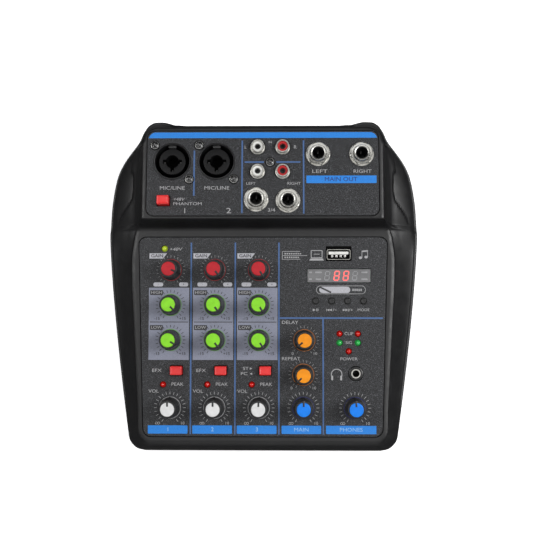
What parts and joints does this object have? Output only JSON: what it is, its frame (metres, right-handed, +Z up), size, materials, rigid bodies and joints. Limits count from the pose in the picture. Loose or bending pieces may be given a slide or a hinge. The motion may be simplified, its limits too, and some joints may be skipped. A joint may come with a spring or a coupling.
{
  "type": "mixing console",
  "caption": "Compact desktop audio mixer with a raised connector block, rotary knobs, push switches and curved side arms.",
  "frame": {"origin": "centre of the footprint at table height, under the rubber feet", "axes": "+X to the right, +Y to the back (the connector end), +Z up"},
  "size_m": [0.1724, 0.1806, 0.0564],
  "materials": {
    "housing": "fine textured black ABS",
    "panel": "charcoal metallic speckle paint",
    "knob": "satin black",
    "red_button": "satin red",
    "board": "green solder mask",
    "socket": "black moulding",
    "steel": "nickel plate",
    "led_red": "tinted clear resin",
    "led_lime": "tinted clear resin",
    "rubber": "matte",
    "cable": "grey PVC",
    "window": "smoked window"
  },
  "bodies": {
    "console": {"top_housing": "housing", "bottom_cover": "housing", "control_panel": "panel", "jack_panel": "panel", "main_board": "board", "jack_board": "board", "ribbon_cable": "cable", "phantom_led": "led_lime", "peak_led_1": "led_red", "peak_led_2": "led_red", "peak_led_3": "led_red", "meter_led_block": "led_red", "display_window": "window", "combo_jack_1": "socket", "combo_jack_2": "socket", "rca_block": "socket", "stereo_jack_left": "socket", "stereo_jack_right": "socket", "main_jack_left": "socket", "main_jack_right": "socket", "stereo_nut_left": "steel", "stereo_nut_right": "steel", "main_nut_left": "steel", "main_nut_right": "steel", "headphone_jack": "socket", "usb_a_port": "steel", "usb_b_port": "steel", "foot_front_left": "rubber", "foot_front_right": "rubber", "foot_back_left": "rubber", "foot_back_right": "rubber", "combo_screw_1_back": "steel", "combo_screw_1_front": "steel", "combo_screw_2_back": "steel", "combo_screw_2_front": "steel", "rca_screw": "steel"},
    "gain_knob_1": {"gain_knob_1": "knob"},
    "gain_knob_2": {"gain_knob_2": "knob"},
    "gain_knob_3": {"gain_knob_3": "knob"},
    "high_knob_1": {"high_knob_1": "knob"},
    "high_knob_2": {"high_knob_2": "knob"},
    "high_knob_3": {"high_knob_3": "knob"},
    "low_knob_1": {"low_knob_1": "knob"},
    "low_knob_2": {"low_knob_2": "knob"},
    "low_knob_3": {"low_knob_3": "knob"},
    "volume_knob_1": {"volume_knob_1": "knob"},
    "volume_knob_2": {"volume_knob_2": "knob"},
    "volume_knob_3": {"volume_knob_3": "knob"},
    "delay_knob": {"delay_knob": "knob"},
    "repeat_knob": {"repeat_knob": "knob"},
    "main_knob": {"main_knob": "knob"},
    "phones_knob": {"phones_knob": "knob"},
    "effect_switch_1": {"effect_switch_1": "red_button"},
    "effect_switch_2": {"effect_switch_2": "red_button"},
    "source_switch": {"source_switch": "red_button"},
    "phantom_switch": {"phantom_switch": "red_button"},
    "play_button": {"play_button": "knob"},
    "back_button": {"back_button": "knob"},
    "forward_button": {"forward_button": "knob"},
    "mode_button": {"mode_button": "knob"}
  },
  "joints": [
    {"name": "gain_knob_1_turn", "type": "hinge", "parent": "console", "child": "gain_knob_1", "pos_m": [-0.05075, 0.00642, 0.03969], "axis": [0, -0.1392, 0.9903], "range_deg": [-38, 262]},
    {"name": "gain_knob_2_turn", "type": "hinge", "parent": "console", "child": "gain_knob_2", "pos_m": [-0.02645, 0.00642, 0.03969], "axis": [0, -0.1392, 0.9903], "range_deg": [-9, 291]},
    {"name": "gain_knob_3_turn", "type": "hinge", "parent": "console", "child": "gain_knob_3", "pos_m": [-0.00215, 0.00642, 0.03969], "axis": [0, -0.1392, 0.9903], "range_deg": [-1, 299]},
    {"name": "high_knob_1_turn", "type": "hinge", "parent": "console", "child": "high_knob_1", "pos_m": [-0.05075, -0.01269, 0.037], "axis": [0, -0.1392, 0.9903], "range_deg": [-15, 285]},
    {"name": "high_knob_2_turn", "type": "hinge", "parent": "console", "child": "high_knob_2", "pos_m": [-0.02645, -0.01269, 0.037], "axis": [0, -0.1392, 0.9903], "range_deg": [-5, 295]},
    {"name": "high_knob_3_turn", "type": "hinge", "parent": "console", "child": "high_knob_3", "pos_m": [-0.00215, -0.01269, 0.037], "axis": [0, -0.1392, 0.9903], "range_deg": [-1, 299]},
    {"name": "low_knob_1_turn", "type": "hinge", "parent": "console", "child": "low_knob_1", "pos_m": [-0.05075, -0.03171, 0.03433], "axis": [0, -0.1392, 0.9903], "range_deg": [-30, 270]},
    {"name": "low_knob_2_turn", "type": "hinge", "parent": "console", "child": "low_knob_2", "pos_m": [-0.02645, -0.03171, 0.03433], "axis": [0, -0.1392, 0.9903], "range_deg": [-7, 293]},
    {"name": "low_knob_3_turn", "type": "hinge", "parent": "console", "child": "low_knob_3", "pos_m": [-0.00215, -0.03171, 0.03433], "axis": [0, -0.1392, 0.9903], "range_deg": [-4, 296]},
    {"name": "volume_knob_1_turn", "type": "hinge", "parent": "console", "child": "volume_knob_1", "pos_m": [-0.05075, -0.06825, 0.0292], "axis": [0, -0.1392, 0.9903], "range_deg": [-150, 150]},
    {"name": "volume_knob_2_turn", "type": "hinge", "parent": "console", "child": "volume_knob_2", "pos_m": [-0.02645, -0.06825, 0.0292], "axis": [0, -0.1392, 0.9903], "range_deg": [-150, 150]},
    {"name": "volume_knob_3_turn", "type": "hinge", "parent": "console", "child": "volume_knob_3", "pos_m": [-0.00215, -0.06825, 0.0292], "axis": [0, -0.1392, 0.9903], "range_deg": [-147, 153]},
    {"name": "delay_knob_turn", "type": "hinge", "parent": "console", "child": "delay_knob", "pos_m": [0.02275, -0.03181, 0.03432], "axis": [0, -0.1392, 0.9903], "range_deg": [-281, 19]},
    {"name": "repeat_knob_turn", "type": "hinge", "parent": "console", "child": "repeat_knob", "pos_m": [0.02215, -0.05042, 0.0317], "axis": [0, -0.1392, 0.9903], "range_deg": [-286, 14]},
    {"name": "main_knob_turn", "type": "hinge", "parent": "console", "child": "main_knob", "pos_m": [0.02215, -0.06825, 0.0292], "axis": [0, -0.1392, 0.9903], "range_deg": [-150, 150]},
    {"name": "phones_knob_turn", "type": "hinge", "parent": "console", "child": "phones_knob", "pos_m": [0.0503, -0.06825, 0.0292], "axis": [0, -0.1392, 0.9903], "range_deg": [-154, 146]},
    {"name": "effect_switch_1_press", "type": "slide", "parent": "console", "child": "effect_switch_1", "axis": [0, -0.1392, 0.9903], "range_m": [-0.0025, 0], "stiffness_N_per_m": 400, "springref_m": 0.0006},
    {"name": "effect_switch_2_press", "type": "slide", "parent": "console", "child": "effect_switch_2", "axis": [0, -0.1392, 0.9903], "range_m": [-0.0025, 0], "stiffness_N_per_m": 400, "springref_m": 0.0006},
    {"name": "source_switch_press", "type": "slide", "parent": "console", "child": "source_switch", "axis": [0, -0.1392, 0.9903], "range_m": [-0.0025, 0], "stiffness_N_per_m": 400, "springref_m": 0.0006},
    {"name": "phantom_switch_press", "type": "slide", "parent": "console", "child": "phantom_switch", "axis": [0, -0.0558, 0.9984], "range_m": [-0.0025, 0], "stiffness_N_per_m": 400, "springref_m": 0.0006},
    {"name": "play_button_press", "type": "slide", "parent": "console", "child": "play_button", "axis": [0, -0.1392, 0.9903], "range_m": [-0.0005, 0], "stiffness_N_per_m": 1500, "springref_m": 0.0002},
    {"name": "back_button_press", "type": "slide", "parent": "console", "child": "back_button", "axis": [0, -0.1392, 0.9903], "range_m": [-0.0005, 0], "stiffness_N_per_m": 1500, "springref_m": 0.0002},
    {"name": "forward_button_press", "type": "slide", "parent": "console", "child": "forward_button", "axis": [0, -0.1392, 0.9903], "range_m": [-0.0005, 0], "stiffness_N_per_m": 1500, "springref_m": 0.0002},
    {"name": "mode_button_press", "type": "slide", "parent": "console", "child": "mode_button", "axis": [0, -0.1392, 0.9903], "range_m": [-0.0005, 0], "stiffness_N_per_m": 1500, "springref_m": 0.0002}
  ]
}
